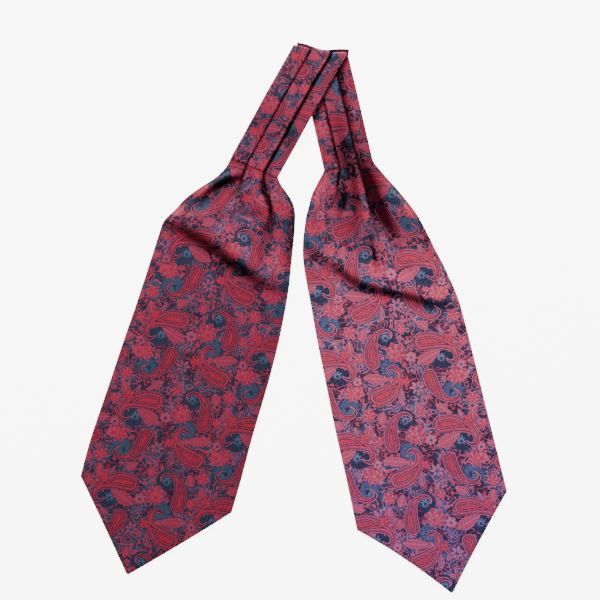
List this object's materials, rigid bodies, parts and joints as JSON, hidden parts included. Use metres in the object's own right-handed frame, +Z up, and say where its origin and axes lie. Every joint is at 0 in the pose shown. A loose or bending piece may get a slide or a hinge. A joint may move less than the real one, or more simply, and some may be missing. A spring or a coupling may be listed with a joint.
{
  "type": "silk cravat",
  "caption": "Self-lined paisley silk cravat laid flat, its pleated neckband folded over once above wide pointed blades.",
  "frame": {"origin": "centre of the bounding box, on the surface that the cravat lies on", "axes": "+Z up out of that surface, +Y from the blades' points towards the fold of the neckband"},
  "size_m": [0.4184, 0.5387, 0.0174],
  "materials": {
    "band_silk": "satin woven",
    "blade_silk": "satin woven",
    "back_silk": "satin woven"
  },
  "bodies": {
    "root": {"left_band": "band_silk", "right_band": "band_silk", "left_blade_front": "blade_silk", "right_blade_front": "blade_silk", "left_blade_back": "back_silk", "right_blade_back": "back_silk"}
  },
  "joints": []
}
